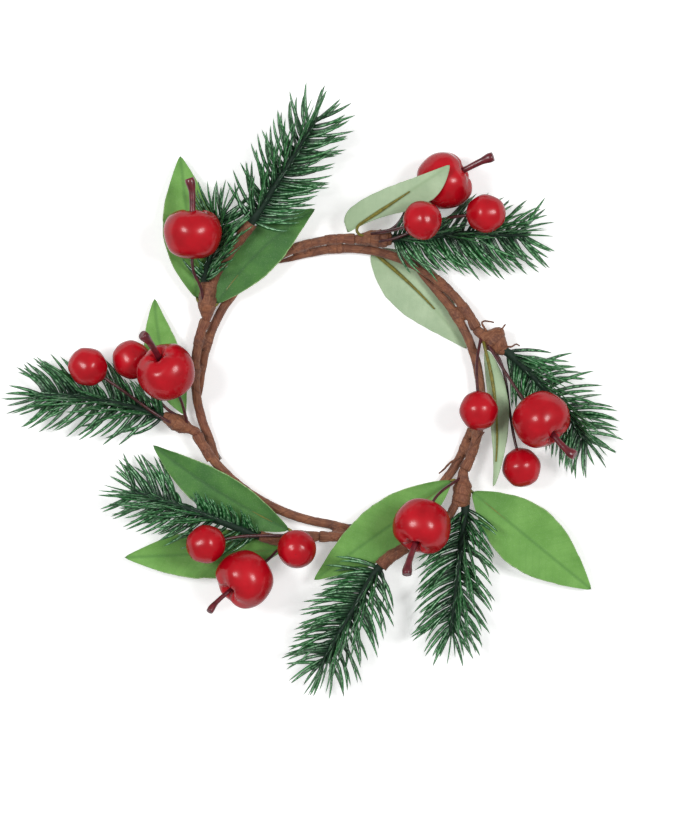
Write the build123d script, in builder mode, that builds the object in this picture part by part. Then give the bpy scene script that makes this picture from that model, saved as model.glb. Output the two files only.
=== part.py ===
from build123d import *

import os
from dataclasses import dataclass
from math import cos, degrees, pi, radians, sin, tan

import numpy as np

# A candle ring: six artificial sprays of fir, apples, berries and leaves. Each spray ends in a
# long wire stem wound in paper tape, and the six stems are chained into a hoop that lies flat
# round a pillar candle. The origin is the middle of the hoop on the table, with +Z up.
# Lengths are millimetres. Angles are degrees, counter-clockwise from +X seen from above.

# Fits
seat_gap = 0.05  # plugged, glued and bound pieces
running_gap = 0.3  # round the ball that a spray bends on
needle_gap = 0.35  # between a needle and what it grows past

# Hoop stems: each starts high on the outside and settles to the inside at its tail
hoop_radius = 48.5
stem_radius = 1.6
core_radius = 0.5
stem_stand_out = 4.0
stem_half_out = 1.6  # of that stand-out, half way along
stem_root_height = 6.4
stem_tail_height = 1.65
tail_lap = 14.0  # how far a tail runs on past the next spray, at the least

# Tape bindings between a tail and the next stem
tie_place = 8.0  # angle past the spray's root
tie_end = 4.5  # angle before the tail's end, where a long tail is bound again
tie_length = 7.0
tie_tape = 0.6
tie_groove = 1.5  # from the binding's middle to the wire that lies in the hollow beside the stems

# Collars: the thick winding that gathers a spray's wires, with a ball at the hoop end
ball_radius = 1.75
collar_radius = 3.4
collar_swell = 6.0
collar_length = 12.0
collar_round = 0.9
bore_depth = 5.0
bore_lead = 2.0  # straight run past the collar's end

# Fruit
apple_radius = 10.2
apple_foot = 7.6  # from the middle down to the wire
apple_dimple = 5.9  # from the middle up to the stalk
apple_shoulder = 8.3
berry_radius = 6.85
fruit_wire_radius = 0.55
wire_depth = 4.0
wire_lead = 5.0  # straight wire below an apple
bend_share = 0.45  # of a wire's run that the bends at its ends may take
stalk_radius = 0.95
stalk_end_radius = 1.55
stalk_length = 12.6
stalk_lean = 1.6
stalk_peg = 3.0

# Leaves
leaf_thickness = 0.4
leaf_edge = 0.35  # half width left at both ends
leaf_cup = 0.12  # rise of the edge for each millimetre of half width
leaf_bias = 0.9
leaf_fullness = 0.95
leaf_sections = 9
leaf_room = 1.6  # that needles leave round each point of a blade
rib_radius = 0.5
rib_drop = 0.4
rib_reach = 0.8

# Fir tips
spine_radius = 1.2
taped_stem_radius = 1.5
stem_overlap = 3.0
stem_samples = 40
needle_length = 16.0
needle_width = 1.3
needle_thickness = 0.9
needle_tip = 0.3  # tip size as a share of the root
needle_stations = 16
needle_sweep = 66.0  # angle to the spine at the bottom of a tip
needle_close = 16.0  # how far that angle closes up towards the end
needle_rows = ((10, 55, 125, 170), (-18, 32, 148, 198))  # round the spine, every other station
first_needle = 3.0
last_needle = 0.6
floor_gap = 0.3

bore = collar_length - bore_depth
lead = collar_length + bore_lead
needle_steps = [needle_length * share for share in (0.25, 0.375, 0.5, 0.625, 0.75, 0.875, 1.0)]


def ring_point(angle, radius, height):
    """The point at an angle and a radius round the hoop's axis."""
    return Vector(radius * cos(radians(angle)), radius * sin(radians(angle)), height)


@dataclass
class Fruit:
    """Middle, direction of the stalk end (None for a berry) and the wire's points before it."""

    middle: tuple
    wire: tuple
    axis: tuple = None


@dataclass
class Leaf:
    """Blade from base to tip; anchor is where its wire lies under a collar's tape."""

    anchor: tuple
    base: tuple
    tip: tuple
    width: float
    arch: float
    roll: float = 0.0
    cup: float = leaf_cup
    bow: float = 0.0  # sideways bend of the midrib


@dataclass
class FirTip:
    """Points of the needled spine, and of the taped stem below it where there is one."""

    spine: tuple
    stem: tuple = ()


@dataclass
class Spray:
    """One spray, laid out from its root: along its heading, to the left of it, and up.

    Its own stem ends at the tail height; the stem before it runs on past its root by the lap.
    """

    name: str
    root_angle: float
    heading: float
    apple: Fruit
    berries: tuple
    leaves: tuple
    firs: tuple
    tail_height: float = stem_tail_height
    half_out: float = stem_half_out
    lap: float = tail_lap

    @property
    def ties(self):
        return (tie_place,) if self.lap == tail_lap else (tie_place, self.lap - tie_end)

    @property
    def plane(self):
        root = ring_point(self.root_angle, hoop_radius + stem_stand_out, stem_root_height)
        return Plane(root, x_dir=ring_point(self.heading, 1, 0), z_dir=(0, 0, 1))

    def at(self, place):
        return self.plane.from_local_coords(Vector(*place))

    def toward(self, direction):
        return (self.at(direction) - self.plane.origin).normalized()


# The six sprays, counter-clockwise from the right
sprays = (
    Spray(
        name="right",
        root_angle=22.5,
        heading=323,
        tail_height=1.9,
        lap=27,
        apple=Fruit((35.5, -12.0, 13.1), ((6, -1.8, 1.9),), axis=(0.90, -0.23, 0.38)),
        berries=(
            Fruit((16.9, -22.4, 10.9), ((2.5, -1.4, 0.9), (6.4, -9.8, 6.5))),
            Fruit((41.0, -29.1, 3.6), ((bore, -2.2, -0.6), (lead, -3.2, -0.8), (30, -20.0, 1.0))),
        ),
        leaves=(
            Leaf((4.4, -2.2, 0.6), (7.0, -4.4, 4.9), (36.7, -40.4, 11.2), 8.5, 4.5, roll=-160),
        ),
        firs=(
            FirTip(((bore, 0, 0), (lead, 0.4, 0.3), (24, -0.9, 1.4), (39.5, -3.3, 2), (54, -8, 1)),),
        ),
    ),
    Spray(
        name="upper_right",
        root_angle=83,
        heading=3,
        lap=26,
        apple=Fruit(
            (31.0, 18.4, 5.8),
            ((bore, 2.1, 0.8), (lead, 2.8, 1.1)),
            axis=(0.88, 0.40, 0.20),
        ),
        berries=(
            Fruit((22.6, 4.3, 20.6), ((5, 1.6, 1.9), (13, 2.0, 6.8))),
            Fruit((44.9, 5.9, 12.8), ((bore, -1.2, 2.0), (lead, -0.6, 2.8), (29.6, 5.5, 7.5))),
        ),
        leaves=(
            Leaf((2.4, 1.0, 1.2), (4.6, 4.4, 4.0), (33.0, 22.5, 19.2), 13.0, -1.6, roll=184),
        ),
        firs=(FirTip(((bore, 0, 0), (lead, -0.5, 0.4), (36.3, 0.2, 2.6), (58.4, -1.8, 2.0)),),),
    ),
    Spray(
        name="upper_left",
        root_angle=152,
        heading=88,
        lap=25.5,
        apple=Fruit((28.4, 5.6, 10.4), ((5, 1.3, 2.0), (10.5, 2.0, 4.8)), axis=(1.0, 0.02, 0.10)),
        berries=(),
        leaves=(
            Leaf((5.0, 2.2, -0.8), (8.8, 5.4, -2.2), (56.5, 11.4, -3.0), 17.5, 0.8),
            Leaf((4.0, -2.2, -0.3), (6.5, -5.0, 0.0), (39.3, -36.6, 1.2), 15.5, 0.8, roll=-9, bow=2.6),
        ),
        firs=(
            FirTip(((bore, 1.45, 0), (lead, 1.2, 0.4), (36.1, -4.1, 2.2))),
            FirTip(
                ((32.9, -14.4, 5.6), (50.1, -24.4, 7.6), (70.4, -35.8, 6.5)),
                stem=((bore, -1.45, 0), (lead, -1.9, 0.8), (22.2, -6.7, 3.2), (32.9, -14.4, 5.6)),
            ),
        ),
    ),
    Spray(
        name="left",
        root_angle=197,
        heading=154,
        half_out=0.3,
        apple=Fruit((17.4, -14.4, 15.3), ((4, -1.6, 1.8),), axis=(0.65, -0.49, 0.57)),
        berries=(
            Fruit((43.3, -4.1, 9.8), ((bore, 0.8, 2.2), (lead, 0.8, 2.6), (26, -1.5, 6.0))),
            Fruit((31.0, -12.9, 4.8), ((bore, -2.2, 0.5), (lead, -2.8, 0.7), (22, -7.8, 1.9))),
        ),
        leaves=(
            Leaf((4.6, -2.2, -0.8), (7.9, -5.6, -2.9), (33.6, -35.6, -4.3), 12.0, 0.4, roll=8, bow=2.4),
        ),
        firs=(
            FirTip(((bore, 0, 0), (lead, 0.3, 0.4), (30, 3, 1.6), (45.2, 7.7, 2.2), (55, 13, 1.8)),),
        ),
    ),
    Spray(
        name="lower_left",
        root_angle=261.5,
        heading=188,
        apple=Fruit(
            (26.5, 10.6, 10.3),
            ((bore, 1.9, 1.2), (lead, 2.4, 1.8)),
            axis=(0.77, 0.45, 0.45),
        ),
        berries=(
            Fruit((38.4, -3.0, 11.8), ((bore, -1.2, 2.0), (lead, -2.4, 3.0), (27, -4.2, 8.0))),
            Fruit((7.4, 3.1, 11.3), ((6.6, 0.7, 2.0),)),
        ),
        leaves=(
            Leaf((8.0, -2.3, 0.6), (11.0, -5.2, 1.0), (52.3, -39.6, 1.3), 16.0, 0.6, roll=-10, bow=1.6),
            Leaf((10.0, 2.4, -0.9), (16.0, 4.0, -2.2), (67.9, -1.9, -3.2), 17.0, 0.8),
        ),
        firs=(
            FirTip(
                ((bore, 0, 0), (lead, 0, 0.5), (26.9, -6.7, 2.8), (42.6, -16, 4), (61.2, -24.4, 3.3)),
            ),
        ),
    ),
    Spray(
        name="lower_right",
        root_angle=326,
        heading=267,
        tail_height=3.0,
        half_out=0.6,
        lap=20,
        apple=Fruit((19.0, -13.5, 15.4), ((2.5, -1.3, 1.3),), axis=(0.85, -0.31, 0.43)),
        berries=(),
        leaves=(
            Leaf((3.5, -2.0, 0.2), (3.2, -6.3, 0.9), (40.5, -50.2, 0.6), 18.0, 1.2),
            Leaf((5.5, 2.3, -0.8), (8.5, 5.0, -1.2), (38.9, 47.1, -2.8), 22.0, 1.0),
        ),
        firs=(
            FirTip(((bore, 1.45, 0), (lead, 1.4, 0.4), (34.4, 0.2, 3.0), (56.2, -1.4, 2.6)),),
            FirTip(
                ((33.4, -27.8, 5.7), (52.1, -37.0, 5.6), (70.1, -46.2, 3.0)),
                stem=(
                    (bore, -1.45, 0),
                    (lead, -2.6, 0.8),
                    (20, -8.5, 3.5),
                    (27.3, -18.7, 5.2),
                    (33.4, -27.8, 5.7),
                ),
            ),
        ),
    ),
)

# The leaf that lies under the hoop: it hangs from the upper right binding
under_leaf = Leaf(
    None, (4.8, -4.2, -5.75), (36.5, -40.2, -5.75), 18.0, 0.05, roll=180, cup=0.01, bow=-1.8
)
under_leaf_spray = sprays[1]

os.makedirs("parts", exist_ok=True)


def export(piece, name):
    piece.part.label = name
    export_step(piece.part, f"parts/{name}.step")


def bend_radii(points):
    """For each inner point, the largest arc that its two runs allow."""
    radii = []
    for before, corner, after in zip(points, points[1:], points[2:]):
        turn = radians((corner - before).get_angle(after - corner))
        run = min((corner - before).length, (after - corner).length)
        radii.append(bend_share * run / tan(turn / 2))
    return radii


def route(points):
    """Straight runs through the points, joined by tangent arcs."""
    with BuildLine() as line:
        if len(points) == 2:
            Line(*points)
        else:
            FilletPolyline(*points, radius=bend_radii(points))
    return line.wire()


def tube(line, radius, mode=Mode.ADD):
    """A round tube along a line, added to or cut from the part being built."""
    with BuildSketch(Plane(line @ 0, z_dir=line % 0)) as section:
        Circle(radius)
    sweep(section.sketch, path=line, mode=mode)


# Points that needles keep away from, each with its radius
crowd = []


def fill(line, radius, step=1.5):
    """Keep needles away from a tube."""
    count = max(2, round(line.length / step))
    for i in range(count + 1):
        crowd.append((*(line @ (i / count)), radius))


# Hoop stems, with the wire inside each
lead_angle = degrees((ball_radius + running_gap) / (hoop_radius + stem_stand_out))
stem_lines = {}
stem_starts = {}
stem_spans = {}
for spray, follower in zip(sprays, sprays[1:] + sprays[:1]):
    start = spray.root_angle + lead_angle
    span = (follower.root_angle + follower.lap - start) % 360
    half_height = (stem_root_height + spray.tail_height) / 2
    with BuildLine() as arc:
        ThreePointArc(
            ring_point(start, hoop_radius + stem_stand_out, stem_root_height),
            ring_point(start + span / 2, hoop_radius + spray.half_out, half_height),
            ring_point(start + span, hoop_radius, spray.tail_height),
        )
    line = arc.wire()
    stem_lines[spray.name] = line
    stem_starts[spray.name] = start
    stem_spans[spray.name] = span
    fill(line, stem_radius)
    with BuildPart() as hoop_stem:
        with BuildSketch(Plane(line @ 0, z_dir=line % 0)):
            Circle(stem_radius)
            Circle(core_radius + seat_gap, mode=Mode.SUBTRACT)
        sweep(path=line)
    export(hoop_stem, f"hoop_stem_{spray.name}")

with BuildPart() as hoop_cores:
    for line in stem_lines.values():
        tube(line, core_radius)
export(hoop_cores, "hoop_wire_cores")


def along_stem(spray, angle):
    """Point and direction of a hoop stem where it passes an angle."""
    line = stem_lines[spray.name]
    share = ((angle - stem_starts[spray.name]) % 360) / stem_spans[spray.name]
    return line @ share, line % share


# Leaves: a cupped, pointed blade of stiff cloth on a wire midrib that runs on under the tape
def leaf(spray, shape, anchor):
    """Loft cupped strips along an arc from base to tip, and sweep the wire below them."""
    base = spray.at(shape.base)
    tip = spray.at(shape.tip)
    ahead = (tip - base).normalized()
    level = Vector(0, 0, 1).cross(ahead).normalized()
    up = ahead.cross(level) * cos(radians(shape.roll)) - level * sin(radians(shape.roll))
    side = up.cross(ahead)
    with BuildLine() as arc:
        ThreePointArc(base, (base + tip) / 2 + up * shape.arch + side * shape.bow, tip)
    middle = arc.wire()

    def below(share):
        return middle @ share - up * rib_drop

    with BuildLine() as wire:
        TangentArc(below(0), anchor, tangent=-(middle % 0))
        ThreePointArc(below(0), below(rib_reach / 2), below(rib_reach))
    rib = wire.wire()
    with BuildPart() as piece:
        for i in range(leaf_sections):
            share = i / (leaf_sections - 1)
            half = leaf_edge + shape.width / 2 * sin(pi * share**leaf_bias) ** leaf_fullness
            rise = shape.cup * half
            top = rise + leaf_thickness
            way = middle % share
            across = (side - way * side.dot(way)).normalized()
            with BuildSketch(Plane(middle @ share, x_dir=across, z_dir=way)):
                with BuildLine():
                    ThreePointArc((-half, rise), (0, 0), (half, rise))
                    Line((half, rise), (half, top))
                    ThreePointArc((half, top), (0, leaf_thickness), (-half, top))
                    Line((-half, top), (-half, rise))
                make_face()
            lift = way.cross(across) * rise
            for place in np.linspace(-1, 1, leaf_sections):
                spot = middle @ share + across * float(half * place) + lift * float(place**2)
                crowd.append((*spot, leaf_room))
        loft()
        tube(rib, rib_radius)
    fill(rib, rib_radius)
    return piece, rib


petioles = {spray.name: [] for spray in sprays}
for spray in sprays:
    for shape, letter in zip(spray.leaves, "ab"):
        piece, rib = leaf(spray, shape, spray.at(shape.anchor))
        petioles[spray.name].append(rib)
        export(piece, f"leaf_{spray.name}_{letter}")

# Tape bindings, cut flat where they lie on the table
under_rib = None
with BuildPart() as ties:
    for spray, before in zip(sprays, sprays[-1:] + sprays[:-1]):
        for place in spray.ties:
            outer, outer_way = along_stem(spray, spray.root_angle + place)
            inner, inner_way = along_stem(before, spray.root_angle + place)
            way = (outer_way + inner_way).normalized()
            middle = (outer + inner) / 2
            with BuildSketch(Plane(middle, x_dir=outer - inner, z_dir=way)):
                SlotCenterToCenter((outer - inner).length, 2 * (stem_radius + tie_tape))
            extrude(amount=tie_length / 2, both=True)
            if spray is under_leaf_spray and place == tie_place:
                hollow = (outer - inner).cross(way).normalized()
                if hollow.Z > 0:
                    hollow = -hollow
                piece, under_rib = leaf(spray, under_leaf, middle + hollow * tie_groove)
                export(piece, f"leaf_{spray.name}_under")
    for line in stem_lines.values():
        tube(line, stem_radius + seat_gap, mode=Mode.SUBTRACT)
    tube(under_rib, rib_radius + seat_gap, mode=Mode.SUBTRACT)
    split(bisect_by=Plane.XY, keep=Keep.TOP)
export(ties, "hoop_ties")


# Fruit
def profile_plane(middle, axis):
    """A plane through an axis, with its Y along the axis."""
    square = Plane(middle, z_dir=axis)
    return Plane(middle, x_dir=square.x_dir, z_dir=-square.y_dir)


wire_lines = {spray.name: [] for spray in sprays}
for spray in sprays:
    middle = spray.at(spray.apple.middle)
    axis = spray.toward(spray.apple.axis)
    wire_hole = fruit_wire_radius + seat_gap
    peg_hole = stalk_radius + seat_gap

    # Apple: flattened, with a dimple for the stalk and a blind hole for the wire
    with BuildPart() as apple:
        with BuildSketch(profile_plane(middle, axis)):
            with BuildLine():
                Polyline(
                    (wire_hole, -apple_foot),
                    (wire_hole, wire_depth - apple_foot),
                    (0, wire_depth - apple_foot),
                    (0, apple_dimple - stalk_peg),
                    (peg_hole, apple_dimple - stalk_peg),
                    (peg_hole, apple_dimple),
                )
                Spline(
                    (peg_hole, apple_dimple),
                    (0.42 * apple_radius, apple_shoulder),
                    (0.82 * apple_radius, 0.76 * apple_shoulder),
                    (apple_radius, 0.12 * apple_shoulder),
                    (0.80 * apple_radius, -0.72 * apple_foot),
                    (0.38 * apple_radius, -1.08 * apple_foot),
                    (wire_hole, -apple_foot),
                )
            make_face()
        revolve(axis=Axis(middle, axis))
    export(apple, f"apple_{spray.name}")
    crowd.append((*middle, apple_radius))

    # Stalk: a peg in the dimple, leaning over and swelling towards its cut end
    lean = Vector(0, 0, 1).cross(axis).normalized()
    with BuildPart() as stalk:
        for height, radius in (
            (-stalk_peg, stalk_radius),
            (0, stalk_radius),
            (0.35 * stalk_length, stalk_radius),
            (0.75 * stalk_length, 0.5 * (stalk_radius + stalk_end_radius)),
            (stalk_length, stalk_end_radius),
        ):
            shift = stalk_lean * max(0, height / stalk_length) ** 2
            foot = middle + axis * (apple_dimple + height) + lean * shift
            with BuildSketch(Plane(foot, x_dir=lean, z_dir=axis)):
                Circle(radius)
            crowd.append((*foot, radius))
        loft(ruled=True)
    export(stalk, f"apple_stalk_{spray.name}")

    # Wires, each seated in its fruit and in the collar
    points = [spray.at(place) for place in spray.apple.wire]
    points.append(middle - axis * (apple_foot + wire_lead))
    points.append(middle - axis * (apple_foot - wire_depth))
    wire_lines[spray.name].append(route(points))
    for berry_shape, letter in zip(spray.berries, "ab"):
        centre = spray.at(berry_shape.middle)
        points = [spray.at(place) for place in berry_shape.wire]
        entry = (centre - points[-1]).normalized()
        points.append(centre - entry * (berry_radius - wire_depth))
        wire_lines[spray.name].append(route(points))
        with BuildPart(Plane(centre, z_dir=entry)) as berry:
            Sphere(berry_radius)
            with Locations((0, 0, -berry_radius)):
                Cylinder(wire_hole, 2 * wire_depth, mode=Mode.SUBTRACT)
        export(berry, f"berry_{spray.name}_{letter}")
        crowd.append((*centre, berry_radius))
    with BuildPart() as wires:
        for line in wire_lines[spray.name]:
            tube(line, fruit_wire_radius)
            fill(line, fruit_wire_radius)
    export(wires, f"fruit_wires_{spray.name}")


# Fir tips: a moulded spine with straight tapered needles, some on a taped stem of their own
@dataclass
class FirLines:
    """Routes of a fir tip's spine and stem; needles start at a distance along the spine."""

    spine: Wire
    stem: Wire
    bare: float


def fir_lines(spray, shape):
    spine = [spray.at(place) for place in shape.spine]
    if not shape.stem:
        return FirLines(route(spine), None, collar_length - bore)
    stem = [spray.at(place) for place in shape.stem]
    stem_line = route(stem)
    spine[0] = stem[-1] - (stem_line % 1) * stem_overlap
    spine.insert(1, stem[-1] + (stem_line % 1) * stem_overlap)
    return FirLines(route(spine), stem_line, stem_overlap)


firs = {}
for spray in sprays:
    for shape, letter in zip(spray.firs, "ab"):
        firs[spray.name, letter] = fir_lines(spray, shape)


def needle_planes(fir):
    """Frames for the needles, Y along each, without those that something lies in the way of."""
    spine = fir.spine
    others = []
    for line in spine_lines(fir):
        for i in range(stem_samples + 1):
            others.append((*(line @ (i / stem_samples)), taped_stem_radius))
    around = np.array(crowd + others)
    frames = []
    for i in range(needle_stations):
        share = i / (needle_stations - 1)
        start = fir.bare + first_needle
        place = (start + share * (spine.length - start - last_needle)) / spine.length
        ahead = spine % place
        level = Vector(0, 0, 1).cross(ahead).normalized()
        sweep_angle = radians(needle_sweep - needle_close * share)
        for row in needle_rows[i % 2]:
            out = level * cos(radians(row)) + ahead.cross(level) * sin(radians(row))
            way = ahead * cos(sweep_angle) + out * sin(sweep_angle)
            path = np.array([tuple(spine @ place + way * step) for step in needle_steps])
            room = np.linalg.norm(path[:, None, :] - around[None, :, :3], axis=2) - around[None, :, 3]
            low = path[:, 2].min() - needle_width / 2
            if room.min() < needle_gap + needle_width / 2 or low < floor_gap:
                continue
            flat = ahead.cross(way)
            frames.append(Plane(spine @ place, x_dir=way.cross(flat), z_dir=flat))
    return frames


def spine_lines(fir):
    """Every spine and stem except this fir tip's own spine."""
    lines = [other.spine for other in firs.values() if other is not fir]
    return lines + [other.stem for other in firs.values() if other.stem]


def needle(frame):
    """One four-sided tapered needle."""
    near = (1 - needle_tip) / 2
    with BuildPart() as piece:
        with Locations(frame):
            Wedge(
                needle_width,
                needle_length,
                needle_thickness,
                needle_width * near,
                needle_thickness * near,
                needle_width * (1 - near),
                needle_thickness * (1 - near),
                align=(Align.CENTER, Align.MIN, Align.CENTER),
            )
    return piece.part


needle_count = 0
for (spray_name, letter), fir in firs.items():
    frames = needle_planes(fir)
    needles = [needle(frame) for frame in frames]
    needle_count += len(needles)
    with BuildPart() as fir_tip:
        tube(fir.spine, spine_radius)
        if fir.stem:
            tube(fir.stem, taped_stem_radius)
        add(needles)
    export(fir_tip, f"fir_tip_{spray_name}_{letter}")
    for frame in frames:
        for step in needle_steps:
            crowd.append((*(frame.origin + frame.y_dir * step), needle_width / 2))
print("needles", needle_count)

# Collars, bored for everything that they gather
for spray in sprays:
    axis = spray.toward((1, 0, 0))
    root = spray.plane.origin
    with BuildPart() as collar:
        with BuildSketch(Plane(root, x_dir=axis, z_dir=spray.toward((0, -1, 0)))):
            with BuildLine():
                ThreePointArc(
                    (-ball_radius, 0),
                    (-ball_radius * cos(pi / 4), ball_radius * sin(pi / 4)),
                    (0, ball_radius),
                )
                Polyline(
                    (0, ball_radius),
                    (collar_swell, collar_radius),
                    (collar_length, collar_radius),
                    (collar_length, 0),
                    (-ball_radius, 0),
                )
            make_face()
        revolve(axis=Axis(root, axis))
        end = collar.edges().filter_by(GeomType.CIRCLE).sort_by(Axis(root, axis))[-1]
        fillet(end, collar_round)
        for (spray_name, letter), fir in firs.items():
            if spray_name == spray.name and fir.stem:
                tube(fir.stem, taped_stem_radius + seat_gap, mode=Mode.SUBTRACT)
            elif spray_name == spray.name:
                tube(fir.spine, spine_radius + seat_gap, mode=Mode.SUBTRACT)
        for line in wire_lines[spray.name]:
            tube(line, fruit_wire_radius + seat_gap, mode=Mode.SUBTRACT)
        for line in petioles[spray.name]:
            tube(line, rib_radius + seat_gap, mode=Mode.SUBTRACT)
    export(collar, f"collar_{spray.name}")
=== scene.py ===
import bmesh
import bpy
import numpy as np
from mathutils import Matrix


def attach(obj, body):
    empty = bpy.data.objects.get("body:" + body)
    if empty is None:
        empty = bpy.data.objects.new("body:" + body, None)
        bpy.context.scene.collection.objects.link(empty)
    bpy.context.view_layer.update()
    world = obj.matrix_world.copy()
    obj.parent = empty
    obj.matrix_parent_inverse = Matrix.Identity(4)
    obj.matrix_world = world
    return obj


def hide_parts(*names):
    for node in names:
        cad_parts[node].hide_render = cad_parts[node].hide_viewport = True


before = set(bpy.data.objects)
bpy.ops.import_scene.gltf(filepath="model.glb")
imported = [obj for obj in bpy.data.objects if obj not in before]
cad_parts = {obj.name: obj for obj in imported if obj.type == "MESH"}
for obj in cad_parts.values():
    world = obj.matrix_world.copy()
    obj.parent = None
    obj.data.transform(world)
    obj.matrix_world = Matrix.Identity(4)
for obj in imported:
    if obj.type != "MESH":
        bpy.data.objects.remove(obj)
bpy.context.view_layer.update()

scene = bpy.context.scene
chance = np.random.default_rng(12)

# Hoop stems: six lengths of soft iron wire, each wound in a spiral of brown crepe paper tape.
# A stem starts high on the outside at its own spray and settles to the inside, and its tail
# runs on past the next spray, so that the six close the ring. Lengths are millimetres.
sprays = {
    "right": {"angle": 22.5, "heading": 323, "tail": 1.9, "half_out": 1.6, "lap": 27},
    "upper_right": {"angle": 83, "heading": 3, "tail": 1.65, "half_out": 1.6, "lap": 26},
    "upper_left": {"angle": 152, "heading": 88, "tail": 1.65, "half_out": 1.6, "lap": 25.5},
    "left": {"angle": 197, "heading": 154, "tail": 1.65, "half_out": -0.6, "lap": 14},
    "lower_left": {"angle": 261.5, "heading": 188, "tail": 1.65, "half_out": 1.6, "lap": 14},
    "lower_right": {"angle": 326, "heading": 267, "tail": 3.0, "half_out": 0.6, "lap": 20},
}
followers = dict(zip(sprays, list(sprays)[1:] + list(sprays)[:1]))
hoop_radius, root_radius, root_height = 48.5, 52.5, 6.4
stem_radius, stem_sides = 1.6, 24
short_lap = 14


def ring_point(angle, radius, height):
    """x and y are the radius times the cosine and the sine of the angle."""
    turn = np.radians(angle)
    return np.array([radius * np.cos(turn), radius * np.sin(turn), height])


def unit(vector):
    """The vector over its own length."""
    return vector / np.linalg.norm(vector, axis=-1, keepdims=True)


def circle_arc(first, middle, last, count, past=1.0):
    """Even steps round the circle through three points, or so many times as far as the last.

    The centre is where the bisectors of the three points meet.
    """
    u, v = middle - first, last - first
    w = np.cross(u, v)
    to_centre = (u @ u) * np.cross(v, w) + (v @ v) * np.cross(w, u)
    centre = first + to_centre / (2 * w @ w)
    x = first - centre
    y = np.cross(unit(w), x)
    span = np.arctan2((last - centre) @ y, (last - centre) @ x) % (2 * np.pi)
    turn = np.linspace(0, span * past, count)[:, None]
    return centre + x * np.cos(turn) + y * np.sin(turn)


def run_length(path):
    """Distance along a path up to each of its points."""
    return np.r_[0, np.cumsum(np.linalg.norm(np.diff(path, axis=0), axis=1))]


def tube(path, radius, around):
    """Rings round a path, closed at both ends: middle + radius * (left * cos + up * sin)."""
    ahead = unit(np.gradient(path, axis=0))
    left = unit(np.cross([0, 0, 1], ahead))
    up = np.cross(ahead, left)
    turn = np.linspace(-0.5 * np.pi, 1.5 * np.pi, around + 1)[None, :, None]
    radius = np.broadcast_to(radius, (len(path), around + 1))[..., None]
    rings = path[:, None] + radius * (left[:, None] * np.cos(turn) + up[:, None] * np.sin(turn))
    ends = [np.broadcast_to(path[i], (1, around + 1, 3)) for i in (0, -1)]
    return np.concatenate([ends[0], rings, ends[1]])


def tube_uv(path, around, pitch=1.0):
    """u is the distance along the path over the pitch, v goes once round."""
    u = run_length(path) / pitch
    u = np.r_[u[0], u, u[-1]]
    return np.stack(np.meshgrid(u, np.linspace(0, 1, around + 1), indexing="ij"), axis=-1)


def hats(count, knots):
    """Weights that carry values on a few knots along straight lines to many points."""
    place = np.linspace(0, knots - 1, count)
    return np.clip(1 - abs(place[:, None] - np.arange(knots)), 0, 1)


def crumple(rows, columns, step):
    """Random heights on a coarse grid, carried to every point; first and last columns agree."""
    coarse = chance.normal(size=(rows // step + 2, columns // 4 + 2))
    coarse[:, -1] = coarse[:, 0]
    return hats(rows, coarse.shape[0]) @ coarse @ hats(columns, coarse.shape[1]).T


def winding(uv):
    """Height of overlapped tape: from 0 just past a seam to 1 at the next, once a turn."""
    return (uv[..., 0] + uv[..., 1]) % 1.0


class Value:
    """A number in a finish; plain arithmetic on it adds Math nodes."""

    def __init__(self, finish, socket):
        self.finish = finish
        self.socket = socket

    def math(self, operation, first, second=0.0):
        return self.finish.node("Math", {"operation": operation}, {0: first, 1: second})

    def __add__(self, other):
        return self.math("ADD", self, other)

    def __sub__(self, other):
        return self.math("SUBTRACT", self, other)

    def __rsub__(self, other):
        return self.math("SUBTRACT", other, self)

    def __mul__(self, other):
        return self.math("MULTIPLY", self, other)

    def __abs__(self):
        return self.math("ABSOLUTE", self)

    def wave(self):
        return self.math("SINE", self)

    def part(self):
        return self.math("FRACT", self)

    def between(self, low, high):
        """0 below low, 1 above high, and a straight ramp between."""
        return self.finish.node("MapRange", {}, {0: self, 1: low, 2: high}, "Result")

    __radd__ = __add__
    __rmul__ = __mul__


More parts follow.
